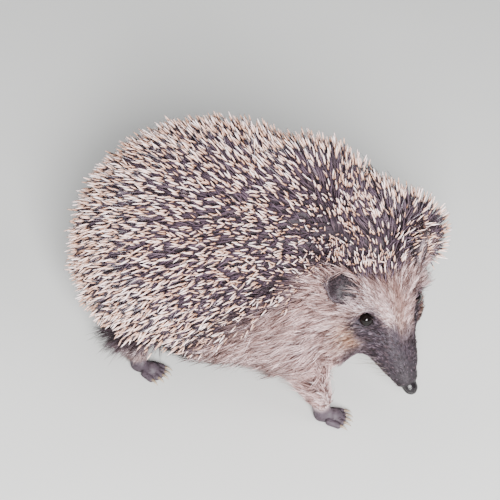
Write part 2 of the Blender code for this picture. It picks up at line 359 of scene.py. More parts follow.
HEAD_AT, HEAD_AXES = head_frame()


def to_head(points):
    return (points - HEAD_AT) @ HEAD_AXES.T


def from_head(points):
    return np.asarray(points) @ HEAD_AXES + HEAD_AT


# ---- regions of the coat


def mirrored_head(points):
    """Head points with both sides laid on the left one."""
    head = to_head(points)
    head[..., 1] = np.abs(head[..., 1])
    return head


def on_head(head):
    """1 on the head, falling to 0 on the chest and legs beside it. Takes points in the head's frame."""
    return smoothstep(*HEAD_REACH, np.hypot(head[..., 1], head[..., 2] + 4))


def by_eye(head, reach):
    """True for head points within reach of either eye's place."""
    near = [np.linalg.norm(head - on_side(EYE_AT, sign), axis=-1) < reach for sign in SIDES.values()]
    return near[0] | near[1]


def in_ear(head):
    """True for head points within the space that either ear takes up, from its mouth to its back."""
    near = np.zeros(head.shape[:-1], dtype=bool)
    for sign in SIDES.values():
        origin, axes = ear_frame(sign)
        local = ((head - origin) @ axes.T + EAR_MIDDLE) / np.array(EAR_SPACE)
        near |= np.sum(local * local, axis=-1) < 1
    return near


def from_ear_middle(head):
    """0 along the axis of the left ear's cup, 1 at its rim."""
    origin, axes = ear_frame(1)
    local = (head - origin) @ axes.T / np.array(EAR_RADII)
    return np.hypot(local[..., 1], local[..., 2])


def near_either(head, place, radius):
    """bump() round a place on the head and its twin on the other side."""
    return np.maximum(*(bump(head, on_side(place, sign), radius) for sign in SIDES.values()))


def ear_frame(sign):
    """The ear's origin and its axes: out of its mouth, across and up, in the head's frame."""
    turn = Matrix.Rotation(math.radians(EAR_TURN * sign), 3, "Z")
    tilt = Matrix.Rotation(math.radians(-EAR_TILT), 3, "Y")
    lean = Matrix.Rotation(math.radians(-EAR_LEAN * sign), 3, "X")
    return on_side(EAR_AT, sign), np.array(turn @ tilt @ lean).T


def hairline(points):
    """How far points lie ahead of the line where the quills end. Quills grow where it is negative."""
    x, y, z = points[..., 0], points[..., 1], points[..., 2]
    nx, ny, nz = HAIRLINE_NORMAL
    ax, ay, az = HAIRLINE_AT
    slope = nx * (x - ax) + ny * (np.sqrt(y * y + HAIRLINE_ROUND**2) - ay) + nz * (z - az) - HAIRLINE_EDGE
    slope = slope + np.sin(points @ (0.31, 0.23, 0.17)) + np.sin(points @ (-0.19, 0.45, 0.33) + 1)
    head = to_head(points)
    centre, radius, height = FOREHEAD_PEAK
    slope = slope - height * bump(head, centre, radius)
    front, low = HOOD
    hood = np.maximum(head[..., 0] - front, HOOD_SLOPE * (low - head[..., 2]))
    hood = hood + 30 * smoothstep(24, 6, head[..., 1])
    centre, radius, height = EAR_BAY
    height = height * np.where(head[..., 1] > 0, 0.5, 1.0)
    return np.minimum(slope, hood) + height * bump(mirrored_head(points), centre, radius)


def round_tail(points):
    """1 on the tail and the rump just round it, falling to 0 over a few millimetres."""
    beside = smoothstep(12, 7, np.abs(points[..., 1])) * smoothstep(34, 28, points[..., 2])
    return beside * smoothstep(-62, -70, points[..., 0])


def coat_depth(points):
    """How far the skin lies under the solids' surface."""
    head = to_head(points)
    fur = toward(BODY_FUR_DEPTH, np.interp(head[..., 0], *zip(*DEPTH_ALONG_HEAD)), on_head(head))
    fur = fur + SNOUT_TAPER * smoothstep(46, 57, head[..., 0]) * smoothstep(0.3, 3, nose_distance(points))
    depth = toward(fur, QUILL_DEPTH, smoothstep(*QUILL_RAMP, hairline(points)))
    low = smoothstep(26, 16, points[..., 2]) * smoothstep(58, 44, np.abs(points[..., 1]))
    belly = low * smoothstep(30, 10, head[..., 0])
    depth = toward(depth, BELLY_DEPTH, belly * (depth > BELLY_DEPTH))
    for foot in FEET:
        beside = smoothstep(17, 11, off_axis(points, f"leg_{foot}"))
        depth = toward(depth, LEG_DEPTH, beside * smoothstep(30, 18, points[..., 2]))
    depth = toward(depth, TAIL_DEPTH, round_tail(points))
    for sign in SIDES.values():
        depth = toward(depth, EYE_DEPTH, bump(head, on_side(EYE_AT, sign), 11) * (depth > EYE_DEPTH))
    return depth


# ---- the skin's shape


def solid_surface(names):
    """Points in millimetres and triangles of CAD nodes, joined in one list."""
    points, faces, count = [], [], 0
    for name in names:
        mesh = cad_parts[name].data
        mesh.calc_loop_triangles()
        points.append(mesh_points(mesh))
        faces.append(read(mesh.loop_triangles, "vertices", 3, np.int32) + count)
        count += len(points[-1])
    return np.concatenate(points), np.concatenate(faces)


def level_set(points, band=3, **faces):
    transform = openvdb.createLinearTransform(voxelSize=VOXEL)
    return openvdb.FloatGrid.createLevelSetFromPolygons(points, transform=transform, halfWidth=band, **faces)


def capsule(points, start, end, start_radius, end_radius):
    """Signed distance to a rod with round ends that tapers from one radius to the other."""
    start, end = np.asarray(start), np.asarray(end)
    axis = end - start
    t = np.clip(((points - start) @ axis) / np.dot(axis, axis), 0, 1)
    away = np.linalg.norm(points - start - t[..., None] * axis, axis=-1)
    return away - toward(start_radius, end_radius, t)


def ellipsoid(points, centre, radii):
    """About the signed distance to an ellipsoid along its own axes."""
    scaled = np.linalg.norm((points - np.asarray(centre)) / np.asarray(radii), axis=-1)
    return (scaled - 1) * min(radii)


def joined(a, b, blend=BLEND):
    """The smaller of two distances, rounded where they meet."""
    h = np.clip(0.5 + 0.5 * (b - a) / blend, 0, 1)
    return toward(b, a, h) - blend * h * (1 - h)


def soften(field, passes):
    for _ in range(passes):
        for axis in range(3):
            field = (np.roll(field, 1, axis) + 2 * field + np.roll(field, -1, axis)) / 4
    return field


def foot_frame(foot):
    """A foot's place, and the unit vectors along and across it."""
    heading = math.radians(FOOT_HEADING[foot])
    along = np.array((math.cos(heading), math.sin(heading), 0))
    across = np.array((-math.sin(heading), math.cos(heading), 0))
    ahead = FOOT_AHEAD[foot.split("_")[0]]
    return box_centre(f"foot_{foot}") * (1, 1, 0) - along * ahead, along, across


def toes(foot):
    """(knuckle root, knuckle, claw tip) of each toe of a foot."""
    at, along, across = foot_frame(foot)
    length, width = SOLE[foot.split("_")[0]]
    lines = []
    for toe in range(TOES):
        spread = 2 * toe / (TOES - 1) - 1
        reach = length * (0.36 - 0.1 * spread * spread) + TOE_LENGTH / 3
        knuckle = at + along * reach + across * spread * width * 0.5 + (0, 0, TOE_HEIGHT)
        root = knuckle - along * TOE_LENGTH - across * spread * width * 0.12 + (0, 0, 0.6)
        tip = knuckle + along * CLAW_LENGTH + across * spread * 1.4 - (0, 0, TOE_HEIGHT - 0.6)
        lines.append((root, knuckle, tip))
    return lines


def feet_distance(points):
    """Distance to the four feet without their claws: a padded sole, five toes and the ankle."""
    nearest = np.full(points.shape[:-1], 50.0)
    for foot in FEET:
        at, along, _ = foot_frame(foot)
        length, width = SOLE[foot.split("_")[0]]
        close = (np.linalg.norm((points - at)[..., :2], axis=-1) < length + 6) & (points[..., 2] < 22)
        near = points[close]
        heel = at - along * HEEL * length
        ball = at + along * 0.2 * length
        sole = capsule(near, heel + (0, 0, 3.0), ball + (0, 0, 3.0), width * 0.26, width * 0.36)
        ankle = capsule(near, heel + (0, 0, 4), heel + (-1, 0, 13), width * 0.34, width * 0.45)
        foot_only = joined(sole, ankle, 2.5)
        for root, knuckle, _ in toes(foot):
            foot_only = joined(foot_only, capsule(near, root, knuckle, *TOE_RADII), 0.7)
        nearest[close] = np.minimum(nearest[close], foot_only)
    return nearest


def nose_distance(points):
    """Distance to the bare nose at the tip of the muzzle."""
    head = to_head(points)
    pad = ellipsoid(head, (NOSE_FORWARD + 0.4, 0, NOSE_HEIGHT), (3.5, 3.5, 3.1))
    start, end = (NOSE_FORWARD - 7, 0, NOSE_HEIGHT + 0.6), (NOSE_FORWARD - 1, 0, NOSE_HEIGHT)
    return joined(pad, capsule(head, start, end, 4.2, 3.3), 1.0)


def read_grid(values, low, points):
    """The grid's values between its points."""
    place = points / VOXEL - low
    whole = np.clip(np.floor(place).astype(int), 0, np.array(values.shape) - 2)
    part = place - whole
    total = np.zeros(len(points))
    for corner in np.ndindex(2, 2, 2):
        weight = np.prod(np.where(corner, part, 1 - part), axis=-1)
        total += weight * values[tuple((whole + corner).T)]
    return total


class SkinShape:
    """The distance to the skin anywhere: the solids shrunk by the coat's depth, with finer feet and nose."""

    def __init__(self):
        names = ["trunk", "neck", "head", "tail"] + [f"leg_{foot}" for foot in FEET]
        points, faces = solid_surface(names)
        grown, quads = level_set(points, triangles=faces).convertToQuads(isovalue=SEAM)
        outside = level_set(grown, band=BAND, quads=quads)
        self.low = np.floor(points.min(axis=0) / VOXEL).astype(int) - MARGIN
        self.low[2] = -MARGIN
        high = np.ceil(points.max(axis=0) / VOXEL).astype(int) + MARGIN
        values = np.empty(high - self.low, dtype=np.float32)
        outside.copyToArray(values, ijk=tuple(self.low.tolist()))
        values = soften(values, SOFTEN_PASSES)
        axes = [np.arange(l, h, dtype=np.float32) * VOXEL for l, h in zip(self.low, high)]
        places = np.stack(np.meshgrid(*axes, indexing="ij"), axis=-1)
        near = (values < 2) & (values > -QUILL_DEPTH - 4)
        values[near] += SEAM + coat_depth(places[near])
        self.body, self.places = values, places

    def distance(self, points):
        body = joined(read_grid(self.body, self.low, points), nose_distance(points))
        return np.maximum(joined(body, feet_distance(points)), SOLE_LEVEL - points[:, 2])

    def gradient(self, points, step=0.25):
        parts = (self.distance(points + axis) - self.distance(points - axis) for axis in np.eye(3) * step)
        return rows(*parts) / (2 * step)

    def surface(self):
        """Points and quads of the skin before its fine parts."""
        flat = self.places.reshape(-1, 3)
        values = self.body.reshape(-1).copy()
        close = (feet_distance(flat) < 3) | (nose_distance(flat) < 3)
        values[close] = self.distance(flat[close].astype(float))
        grid = openvdb.FloatGrid(float(values.max()))
        grid.transform = openvdb.createLinearTransform(voxelSize=VOXEL)
        grid.copyFromArray(values.reshape(self.body.shape), ijk=tuple(self.low.tolist()))
        return grid.convertToQuads(isovalue=0)

    def snap(self, points):
        for _ in range(SNAPS):
            slope = self.gradient(points)
            steep = np.maximum(np.sum(slope * slope, axis=-1, keepdims=True), 0.2)
            points = points - slope * (self.distance(points)[:, None] / steep).clip(-0.6, 0.6)
        return points


# ---- making meshes


def new_object(name, points, faces):
    """A mesh object from points in millimetres and an array of faces that all have as many corners."""
    faces = np.asarray(faces, dtype=np.int32)
    mesh = bpy.data.meshes.new(name)
    mesh.vertices.add(len(points))
    mesh.vertices.foreach_set("co", (np.asarray(points) * MM).astype(np.float32).ravel())
    mesh.loops.add(faces.size)
    mesh.loops.foreach_set("vertex_index", faces.ravel())
    mesh.polygons.add(len(faces))
    mesh.polygons.foreach_set("loop_start", np.arange(0, faces.size, faces.shape[1], dtype=np.int32))
    mesh.update(calc_edges=True)
    mesh.shade_smooth()
    piece = bpy.data.objects.new(name, mesh)
    bpy.context.scene.collection.objects.link(piece)
    return piece


def mesh_points(mesh):
    return read(mesh.vertices, "co", 3) / MM


def set_points(mesh, points):
    mesh.vertices.foreach_set("co", (points * MM).astype(np.float32).ravel())
    mesh.update()


def mesh_normals(mesh):
    return read(mesh.vertex_normals, "vector", 3)


def write_colour(mesh, name, colours):
    """A colour per point, given as display colours."""
    rows = np.ones((len(mesh.vertices), 4), dtype=np.float32)
    rows[:, :3] = linear(np.clip(colours, 0, 1))
    mesh.color_attributes.new(name, "FLOAT_COLOR", "POINT").data.foreach_set("color", rows.ravel())


def write_number(mesh, name, values):
    mesh.attributes.new(name, "FLOAT", "POINT").data.foreach_set("value", values.astype(np.float32))


# ---- the skin


def refine(piece, wanted):
    """Halves the faces whose middles are wanted."""
    bm = bmesh.new()
    bm.from_mesh(piece.data)
    middles = np.array([face.calc_center_median() for face in bm.faces]) / MM
    edges = {edge for face, keep in zip(bm.faces, wanted(middles)) if keep for edge in face.edges}
    bmesh.ops.subdivide_edges(bm, edges=list(edges), cuts=1, use_grid_fill=True)
    bmesh.ops.triangulate(bm, faces=[face for face in bm.faces if len(face.verts) > 4])
    bm.to_mesh(piece.data)
    bm.free()


def in_face(points):
    return to_head(points)[:, 0] > FACE_FINE


def in_details(points):
    """Near an eye, the mouth, the nose or a foot."""
    head = to_head(points)
    return (head[:, 0] > NOSE_FORWARD - 12) | (points[:, 2] < FOOT_TOP) | by_eye(head, DETAIL_REACH)


def shape_lids(head, normals, sign):
    """Head points drawn over the eyeball as two lids, with an almond opening between them."""
    centre = to_head(box_centre("eye_right" if sign < 0 else "eye_left"))
    near = np.linalg.norm(head - centre, axis=-1) < EYE_RADIUS + LID_REACH
    outwards = unit(normals[near].mean(axis=0) + np.array((0, sign * 0.15, 0.0)))
    forwards = along_surface(np.array((1.0, 0, -0.35)), outwards)
    upwards = np.cross(outwards, forwards) * -sign
    spoke = head[near] - centre
    height = spoke @ outwards
    a, b = spoke @ forwards, spoke @ upwards
    away = np.hypot(a, b)
    opening = LID_OPENING[1] * (1 - 0.16 * a / EYE_RADIUS)
    ring = np.hypot(a / LID_OPENING[0], b / opening)
    lid = EYE_RADIUS + LID_LIFT
    shell = np.sqrt(np.maximum(lid * lid - away * away, 0))
    seat = np.sqrt(np.maximum((EYE_RADIUS - 0.6) ** 2 - away * away, 0))
    covered = -joined(-shell, -height, 1.6)
    rim = 0.22 * hill(ring, 1.1, 0.1)
    crease = -0.22 * hill(ring, 1.45, 0.09) * (b > -0.5)
    wanted = toward(seat, covered + rim + crease, smoothstep(0.9, 1.02, ring))
    blend = smoothstep(EYE_RADIUS + LID_REACH, EYE_RADIUS + 1.2, away) * smoothstep(-3.2, -1.6, height)
    head[near] += outwards * ((wanted - height) * blend)[:, None]
    return head


def shape_nose(head):
    """How far the two comma-shaped nostrils and the groove between them are pushed in."""
    tip = head - np.array((NOSE_FORWARD, 0, NOSE_HEIGHT))
    push = np.zeros(len(head))
    for sign, (place, radii, depth) in itertools.product(SIDES.values(), NOSTRIL):
        away = np.linalg.norm((tip - on_side(place, sign)) / radii, axis=-1)
        push -= depth * hill(away, 0, 1)
    return push - 0.35 * hill(tip[:, 1], 0, 0.3) * smoothstep(1.5, 3.0, tip[:, 0])


def mouth_line(head):
    """How deep the closed mouth's line cuts in, and the lip's fullness above it."""
    level = NOSE_HEIGHT - 3.6 + 0.05 * (NOSE_FORWARD - head[:, 0])
    reach = smoothstep(26, 31, head[:, 0]) * smoothstep(NOSE_FORWARD + 2, NOSE_FORWARD - 1, head[:, 0])
    above = head[:, 2] - level
    return reach * (0.25 * hill(above, 1.3, 0.9) - 0.55 * hill(above, 0, 0.35))


def tube_quads(rings, sides):
    """The faces between rings of points that follow each other."""
    ring, side = np.meshgrid(np.arange(rings - 1), np.arange(sides), indexing="ij")
    a = ring * sides + side
    b = ring * sides + (side + 1) % sides
    return np.stack((a, b, b + sides, a + sides), axis=-1).reshape(-1, 4)


def ear_shell(sign):
    """Points and faces of a round ear: a cupped inner face with its folds, a rolled rim and a domed back."""
    origin, axes = ear_frame(sign)
    deep, half_width, half_height = EAR_RADII
    out = np.arange(EAR_RINGS + 1) / EAR_RINGS
    rho = np.append(out, 1 - out[1:])[:, None]
    inside = np.arange(len(rho))[:, None] <= EAR_RINGS
    angle = 2 * math.pi * np.arange(EAR_SPOKES) / EAR_SPOKES
    reach = rho * (1 + 0.06 * np.sin(2 * angle + 0.6) + 0.03 * np.sin(5 * angle))
    bowl = -deep * (1.15 - rho * rho) + 0.9 * hill(rho, 1, 0.12)
    wall = EAR_WALL * (1 - 0.75 * rho * rho) * ~inside
    folds = 0
    for rise, at, wide, turn, long in EAR_FOLDS:
        folds = folds + rise * hill(rho, at, wide) * hill(angle, turn, long)
    x = bowl - wall + folds * inside + 1.2 * rho * rho * np.sin(angle - 0.4)
    points = rows(x, half_width * reach * np.cos(angle), half_height * reach * np.sin(angle)).reshape(-1, 3)
    points = points * (1, sign, 1) @ axes + origin
    return from_head(points), tube_quads(len(rho), EAR_SPOKES)[:, ::sign]


def make_skin():
    shape = SkinShape()
    points, quads = shape.surface()
    skin = new_object("skin", points, quads)
    refine(skin, in_face)
    refine(skin, in_details)
    points = mesh_points(skin.data)
    fine = in_face(points) | in_details(points)
    points[fine] = shape.snap(points[fine])
    set_points(skin.data, points)
    normals = mesh_normals(skin.data)
    head = to_head(points)
    tip = head[:, 0] > 24
    push = np.zeros(len(points))
    push[tip] = shape_nose(head[tip]) * (head[tip, 0] > NOSE_FORWARD - 5) + mouth_line(head[tip])
    points = points + normals * push[:, None]
    head = to_head(points)
    normals = normals @ HEAD_AXES.T
    for sign in SIDES.values():
        head = shape_lids(head, normals, sign)
    set_points(skin.data, from_head(head))
    return skin


skin = make_skin()


def add_ears(piece):
    """Joins both ears to the skin's mesh."""
    parts = [piece]
    for side, sign in SIDES.items():
        parts.append(new_object(f"ear_{side}_shell", *ear_shell(sign)))
    with bpy.context.temp_override(active_object=piece, selected_editable_objects=parts):
        bpy.ops.object.join()


def unwrap(piece):
    """An unwrap of the skin's own shape, in the map that quills and fur read their places from."""
    piece.data.uv_layers.new(name="OFBake")
    bpy.context.view_layer.objects.active = piece
    piece.select_set(True)
    bpy.ops.object.mode_set(mode="EDIT")
    bpy.ops.mesh.select_all(action="SELECT")
    bpy.ops.uv.smart_project(angle_limit=math.radians(UV_ANGLE), island_margin=UV_MARGIN)
    bpy.ops.object.mode_set(mode="OBJECT")
    piece.select_set(False)


add_ears(skin)
unwrap(skin)


# ---- markings, shared by skin and coat


def mask_weight(points):
    """The dark mask: round each eye, down the sides of the muzzle, and over its whole tip and chin."""
    head = mirrored_head(points)
    start, run = np.array(MASK_FROM), np.array(MASK_TO) - MASK_FROM
    along = np.clip((head - start) @ run / (run @ run), 0, 1)
    away = np.linalg.norm(head - start - along[..., None] * run, axis=-1)
    away = away + 0.5 * np.sin(head @ (1.3, 0.9, 0.7)) + 0.4 * np.sin(head @ (-0.8, 1.7, 1.9))
    band = smoothstep(*MASK_BAND, away)
    muzzle = smoothstep(26, 34, head[..., 0])
    off_bridge = np.abs(to_head(points)[..., 1] - BRIDGE_SIDE)
    bridge = smoothstep(7.5, 4, off_bridge) * smoothstep(-1, 4, head[..., 2])
    bridge = bridge * smoothstep(41, 28, head[..., 0])
    beside = smoothstep(28, 21, np.hypot(head[..., 1], head[..., 2] + 6))
    return np.maximum(band, muzzle) * (1 - bridge) * beside


def mixed(base, colour, weight):
    """A base colour, or one for each point, mixed with another by each point's weight."""
    return toward(np.asarray(base), np.asarray(colour), np.clip(weight, 0, 1)[:, None])


def markings(points):
    """The coat's colour at each point, before light and dark hairs part from it, with painted shade in and
    below the ears.
    """
    head = mirrored_head(points)
    colour = mixed(FUR, FUR_LOW, smoothstep(46, 24, points[:, 2]) * smoothstep(40, 0, points[:, 0]))
    for patch, strength, place, radius in FACE_PATCHES:
        colour = mixed(colour, patch, strength * bump(head, place, radius))
    streak = smoothstep(5, 1, head[:, 1]) * smoothstep(0, 8, head[:, 0]) * smoothstep(-1, 4, head[:, 2])
    colour = mixed(colour, STREAK_BROWN, 0.5 * streak)
    # A painted shadow below each ear, then the pale tuft in front of it
    for patch, strength, place, radius in EAR_SHADOW_AND_TUFT:
        colour = mixed(colour, patch, strength * bump(head, place, radius))
    # Inside each ear: its dark skin, with painted shade deepest in the middle of the hollow and less towards
    # the rim
    ears = mixed(EAR_DARK_AND_SHADE, EAR_EDGE, smoothstep(0.72, 1.0, from_ear_middle(head)))
    colour = mixed(colour, ears, in_ear(head))
    mask = mixed(MASK, SNOUT_DARK, smoothstep(40, 56, head[:, 0]))
    colour = mixed(colour, mask, mask_weight(points))
    colour = mixed(colour, BARE_DARK, smoothstep(11, 6, points[:, 2]))
    colour = mixed(colour, NOSE_BLACK, smoothstep(0.6, 0.1, nose_distance(points)))
    return mixed(colour, QUILL_SKIN, smoothstep(3, -5, hairline(points)) * smoothstep(14, 24, points[:, 2]))


def lie(points, normals):
    """The way the coat lies: away from the nose, parting over the forehead, and back and down behind."""
    head = to_head(points)
    face = rows(-1, 1.1 * np.clip(head[:, 1] / 12, -1, 1), 0)
    cheek = rows(-0.35, 0.6 * np.sign(head[:, 1]), -0.9)
    cheek_weight = smoothstep(6, 18, np.abs(head[:, 1])) * smoothstep(38, 22, head[:, 0])
    cheek_weight = cheek_weight * smoothstep(12, -2, head[:, 2])
    face = toward(face, cheek, cheek_weight[:, None])
    drop = 0.15 + 0.6 * smoothstep(105, 35, points[:, 2])
    body = rows(-1, 0.25 * np.clip(points[:, 1] / 30, -1, 1), -drop)
    weight = smoothstep(-28, 8, head[:, 0])[:, None]
    return along_surface(toward(body, face @ HEAD_AXES, weight), normals)


def turned(flow, normals, degrees):
    """The lie of the coat turned about the skin's normals."""
    swing = np.radians(degrees)[:, None]
    return flow * np.cos(swing) + np.cross(normals, flow) * np.sin(swing)


# ---- roots


class Roots:
    """Places on the skin where quills and hairs grow, with the skin's direction and bake place there."""

    def __init__(self, piece, density, name):
        """density gives the number of roots wanted per square millimetre at each face's middle."""
        mesh = piece.data
        mesh.calc_loop_triangles()
        corners = read(mesh.loop_triangles, "vertices", 3, np.int32)
        loops = read(mesh.loop_triangles, "loops", 3, np.int32)
        uv = read(mesh.uv_layers["OFBake"].data, "uv", 2)
        points, normals = mesh_points(mesh), mesh_normals(mesh)
        a, b, c = (points[corners[:, i]] for i in range(3))
        area = np.linalg.norm(np.cross(b - a, c - a), axis=-1) / 2
        wanted = np.cumsum(area * density((a + b + c) / 3, unit(normals[corners].sum(axis=1))))
        rng = rng_for(name)
        marks = np.arange(int(wanted[-1])) + rng.random(int(wanted[-1]))
        face = np.minimum(np.searchsorted(wanted, marks), len(corners) - 1)
        u, v = np.sqrt(rng.random(len(face))), rng.random(len(face))
        weights = rows(1 - u, u * (1 - v), u * v)[..., None]
        self.at = (points[corners[face]] * weights).sum(axis=1)
        self.normal = unit((normals[corners[face]] * weights).sum(axis=1))
        self.uv = (uv[loops[face]] * weights).sum(axis=1)

    def keep(self, chosen):
        self.at, self.normal, self.uv = self.at[chosen], self.normal[chosen], self.uv[chosen]

    def spread(self, spacing):
        """Drops roots that crowd an earlier one."""
        kept, cells = [], {}
        around = list(itertools.product((-1, 0, 1), repeat=3))
        for index, (place, gap) in enumerate(zip(self.at.tolist(), spacing(self.at).tolist())):
            cell = tuple(math.floor(value / ROOT_CELL) for value in place)
            near = (cells.get(tuple(map(sum, zip(cell, offset))), ()) for offset in around)
            if all(math.dist(place, other) >= gap for other in itertools.chain.from_iterable(near)):
                cells.setdefault(cell, []).append(place)
                kept.append(index)
        self.keep(np.array(kept))


def spikes(name, lines, radii, sides, uv, lengthwise, tone, tint):
    """Closed tapering rods, from (rods, rings, 3) points that end at the tips and (rods, rings - 1) radii."""
    count, rings, _ = lines.shape
    along = unit(lines[:, -1] - lines[:, 0])
    across = unit(np.cross(along, np.roll(along, 1, axis=-1) + (0.3, 0.1, 0.2)))
    third = np.cross(along, across)
    angles = np.arange(sides) * 2 * math.pi / sides
    circle = np.cos(angles)[:, None, None] * across + np.sin(angles)[:, None, None] * third
    shafts = lines[:, :-1, None] + radii[:, :, None, None] * circle.transpose(1, 0, 2)[:, None]
    per_rod = (rings - 1) * sides + 1
    points = np.concatenate((shafts.reshape(count, -1, 3), lines[:, -1:]), axis=1)
    points[..., 2] = np.maximum(points[..., 2], LOWEST)
    quads = tube_quads(rings - 1, sides)
    last = (rings - 2) * sides
    ends = np.arange(sides)
    tip = rows(last + ends, last + (ends + 1) % sides, per_rod - 1)
    root = rows(0, ends[2:], ends[1:-1])
    faces = np.concatenate((quads[:, (0, 1, 2)], quads[:, (0, 2, 3)], tip, root))
    all_faces = (faces[None] + (np.arange(count) * per_rod)[:, None, None]).reshape(-1, 3)
    piece = new_object(name, points.reshape(-1, 3), all_faces)
    around = np.append(np.tile(np.arange(sides) / sides, rings - 1), 0.5)
    place = np.append(np.repeat(lengthwise[:-1], sides), 1.0)
    patch = rows(around - 0.5, place - 0.5) * UV_PATCH
    point_uv = (uv[:, None] + patch).reshape(-1, 2)
    layer = piece.data.uv_layers.new(name="OFBake")
    layer.data.foreach_set("uv", point_uv[all_faces.ravel()].astype(np.float32).ravel())
    write_number(piece.data, "along", np.tile(place, count))
    write_number(piece.data, "tone", np.repeat(tone, per_rod))
    write_colour(piece.data, "tint", np.repeat(tint, per_rod, axis=0))
    return piece


def coat_pieces(name, lines, radii, sides, uv, lengthwise, tone, tint):
    """Spikes in numbered pieces of equal size, each under the limit of triangles."""
    count, rings, _ = lines.shape
    triangles = count * (2 * sides * (rings - 1) - 2)
    edges = np.linspace(0, count, math.ceil(triangles / PIECE_TRIANGLES) + 1).astype(int)
    pieces = []
    for number, (low, high) in enumerate(zip(edges[:-1], edges[1:]), start=1):
        part = slice(low, high)
        rods = lines[part], radii[part], sides, uv[part], lengthwise, tone[part], tint[part]
        pieces.append(spikes(f"{name}_{number}", *rods))
    return pieces


# ---- quills


def spiny(points, normals):
    """True on the back and flanks down to the skirt, but not on a leg or the tail, or in an ear."""
    allowed = (normals[:, 2] > SKIRT_TURN) & (points[:, 2] > SKIRT_EDGE) & ~in_ear(to_head(points))
    allowed &= round_tail(points) < 0.6
    reach, height = LEG_CLEAR
    for foot in FEET:
        allowed &= (off_axis(points, f"foot_{foot}") > reach) | (points[:, 2] > height)
    return allowed


def quill_density(points, normals):
    ahead = hairline(points)
    thinned = QUILLS_PER_MM2 * (0.3 + 0.7 * smoothstep(-1, -9, ahead))
    return thinned * (spiny(points, normals) & (ahead < 0))


def make_quills():
    roots = Roots(skin, quill_density, "quill roots")
    roots.keep(rng_for("quill order").permutation(len(roots.at)))
    roots.spread(lambda at: QUILL_SPACING - 0.2 * smoothstep(-14, 0, hairline(at)))
    roots.keep(np.argsort(roots.at[:, 0], kind="stable"))
    count = len(roots.at)
    rng = rng_for("quills")
    back = smoothstep(0, -26, hairline(roots.at))
    head = to_head(roots.at)
    crown = smoothstep(-34, -6, head[:, 0]) * smoothstep(-10, 6, head[:, 2])
    length = toward(QUILL_SHORT, QUILL_LONG, back) * rng.normal(1, 0.07, count).clip(0.8, 1.15)
    length = length * (1 - 0.35 * smoothstep(36, 20, roots.at[:, 2])) * (1 - 0.5 * round_tail(roots.at))
    tilt = toward(toward(EDGE_TILT, QUILL_TILT, back), CROWN_TILT, crown)
    tilt = np.radians(tilt + rng.normal(0, 9, count).clip(-12, 22))
    flow = turned(lie(roots.at, roots.normal), roots.normal, rng.normal(0, QUILL_SWING, count))
    aim = roots.normal * np.cos(tilt)[:, None] + flow * np.sin(tilt)[:, None]
    marks = np.array(QUILL_MARKS)
    dark = np.minimum(marks / PALE_FROM, 1) * (length - PALE_LENGTH)[:, None]
    reach = dark + np.maximum(marks - PALE_FROM, 0) / (1 - PALE_FROM) * PALE_LENGTH
    share = reach / length[:, None]
    bow = (share * (1 - share) * QUILL_BOW * length[:, None])[..., None] * roots.normal[:, None]
    start = roots.at - aim * QUILL_ROOT
    lines = start[:, None] + aim[:, None] * reach[..., None] + bow
    thickness = QUILL_RADIUS * (0.8 + 0.2 * back) * rng.normal(1, 0.08, count).clip(0.8, 1.2)
    radii = thickness[:, None] * QUILL_PROFILE[:-1]
    tone = rng.random(count)
    return coat_pieces("quills", lines, radii, QUILL_SIDES, roots.uv, marks, tone, markings(roots.at))


# ---- fur


def fur_length(points):
    """Hair length: very short at the nose and feet, longest on the flanks' skirt."""
    head = to_head(points)
    length = toward(BODY_HAIR, np.interp(head[:, 0], *zip(*HAIR_ALONG_HEAD)), on_head(head))
    length = toward(length, EAR_SIDE_HAIR, near_either(head, EAR_AT, 20))
    length = toward(length, EAR_TUFT_HAIR, bump(mirrored_head(points), EAR_TUFT_AT, 10))
    length[in_ear(head)] = EAR_HAIR
    length = toward(length, LEG_HAIR, smoothstep(24, 12, points[:, 2]))
    length = toward(length, FOOT_HAIR, smoothstep(12, 8, points[:, 2]))
    length = length * (1 - 0.65 * near_either(head, EYE_AT, 9))
    length = toward(length, FAR_BROW_HAIR, bump(head, FAR_BROW_AT, 10))
    tail = smoothstep(9, 5, np.abs(points[:, 1])) * smoothstep(32, 27, points[:, 2])
    return toward(length, TAIL_HAIR, tail * (points[:, 0] < -62))


def fur_density(points, normals):
    """Hairs per square millimetre: more where they are short, none on the nose, soles and eyes."""
    haired = np.maximum(smoothstep(-13, -3, hairline(points)), ~spiny(points, normals))
    bare = (nose_distance(points) < 0.5) | (points[:, 2] < 2.2) | by_eye(to_head(points), EYE_RADIUS + 0.75)
    density = np.interp(fur_length(points), *zip(*HAIR_DENSITY))
    unseen = smoothstep(-0.3, -0.8, normals[:, 2])
    return density * haired * ~bare * (1 - 0.45 * unseen)


def locks(roots, rng):
    """For each root, the root that its lock of hair gathers at."""
    heads = rng.permutation(len(roots.at))[: len(roots.at) // HAIRS_IN_LOCK]
    tree = kdtree.KDTree(len(heads))
    for index in heads.tolist():
        tree.insert(roots.at[index], index)
    tree.balance()
    return np.array([tree.find(place)[1] for place in roots.at])


